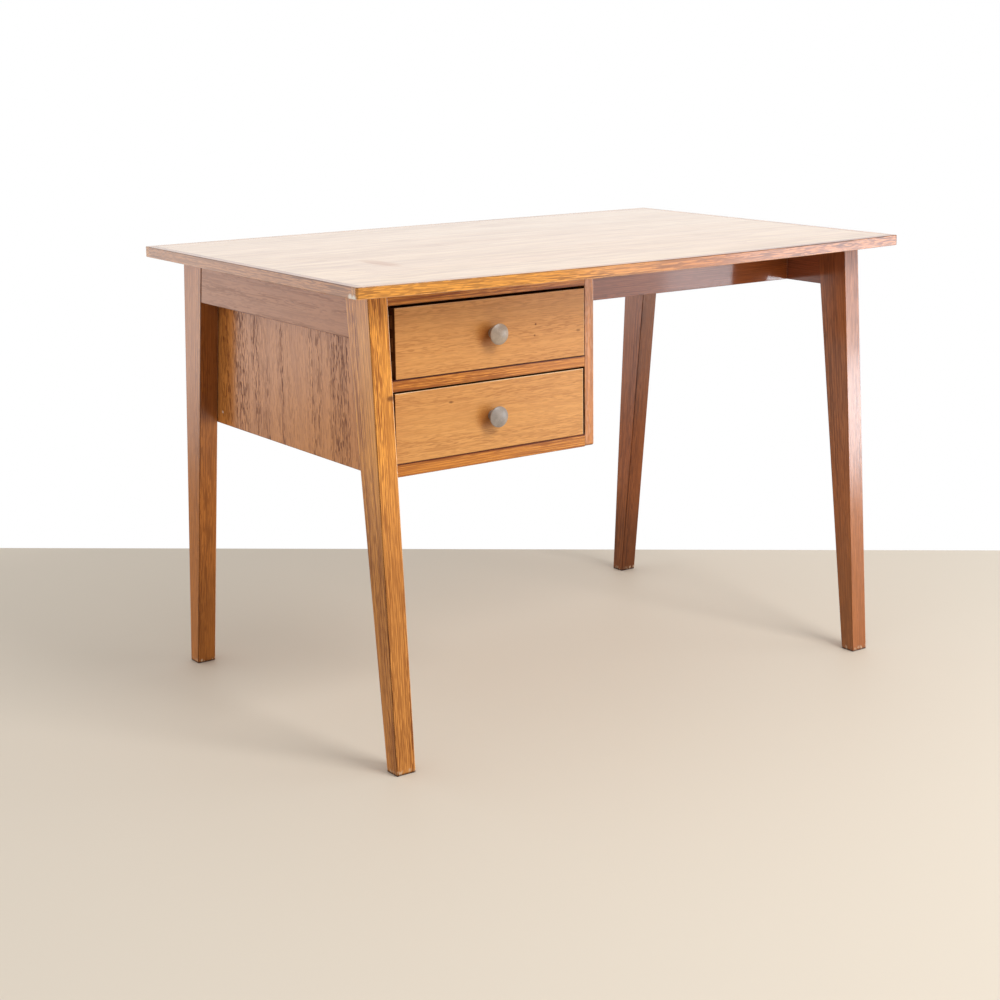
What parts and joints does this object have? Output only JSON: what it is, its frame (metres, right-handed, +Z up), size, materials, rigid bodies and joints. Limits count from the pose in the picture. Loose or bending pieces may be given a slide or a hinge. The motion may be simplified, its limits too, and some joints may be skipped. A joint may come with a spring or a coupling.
{
  "type": "writing desk",
  "caption": "Mid-century oak writing desk with a bowed top, splayed tapered legs and a box of sliding drawers under its left end",
  "frame": {"origin": "on the floor, under the middle of the desk's overall box", "axes": "+X to the right of someone sitting at the desk, along its length; +Y away from the sitter; +Z up"},
  "size_m": [1.1, 0.726, 0.75],
  "materials": {
    "top_veneer": "satin varnish",
    "oak_solid": "satin varnish",
    "oak_veneer": "satin varnish",
    "drawer_front": "satin varnish",
    "drawer_wood": "raw",
    "inner_wood": "raw",
    "plywood": "raw",
    "knob_paint": "worn paint",
    "steel_screw": "zinc"
  },
  "bodies": {
    "desk": {"top_panel": "top_veneer", "front_lipping": "oak_solid", "back_lipping": "oak_solid", "left_lipping": "oak_solid", "right_lipping": "oak_solid", "front_left_leg": "oak_solid", "back_left_leg": "oak_solid", "front_right_leg": "oak_solid", "back_right_leg": "oak_solid", "left_rail": "oak_solid", "right_rail": "oak_solid", "knee_rail": "oak_solid", "back_rail": "oak_solid", "box_right_lipping": "oak_solid", "box_top_rail": "oak_solid", "box_middle_rail": "oak_solid", "box_bottom_rail": "oak_solid", "box_left_panel": "oak_veneer", "box_right_panel": "oak_veneer", "left_runner": "inner_wood", "right_runner": "inner_wood", "left_kicker": "inner_wood", "right_kicker": "inner_wood", "upper_stops": "inner_wood", "lower_stops": "inner_wood", "top_cleats": "inner_wood", "side_rail_dowels": "inner_wood", "long_rail_dowels": "inner_wood", "box_rail_dowels": "inner_wood", "box_bottom": "plywood", "box_back": "plywood", "runner_screws": "steel_screw", "kicker_screws": "steel_screw", "panel_screws": "steel_screw", "cleat_top_screws": "steel_screw", "cleat_rail_screws": "steel_screw"},
    "upper_drawer": {"upper_drawer_front": "drawer_front", "upper_drawer_left_side": "drawer_wood", "upper_drawer_right_side": "drawer_wood", "upper_drawer_back": "drawer_wood", "upper_drawer_bottom": "plywood", "upper_knob": "knob_paint", "upper_knob_screw": "steel_screw"},
    "lower_drawer": {"lower_drawer_front": "drawer_front", "lower_drawer_left_side": "drawer_wood", "lower_drawer_right_side": "drawer_wood", "lower_drawer_back": "drawer_wood", "lower_drawer_bottom": "plywood", "lower_knob": "knob_paint", "lower_knob_screw": "steel_screw"}
  },
  "joints": [
    {"name": "upper_drawer_slide", "type": "slide", "parent": "desk", "child": "upper_drawer", "axis": [0, -1, 0], "range_m": [0, 0.4]},
    {"name": "lower_drawer_slide", "type": "slide", "parent": "desk", "child": "lower_drawer", "axis": [0, -1, 0], "range_m": [0, 0.4]}
  ]
}
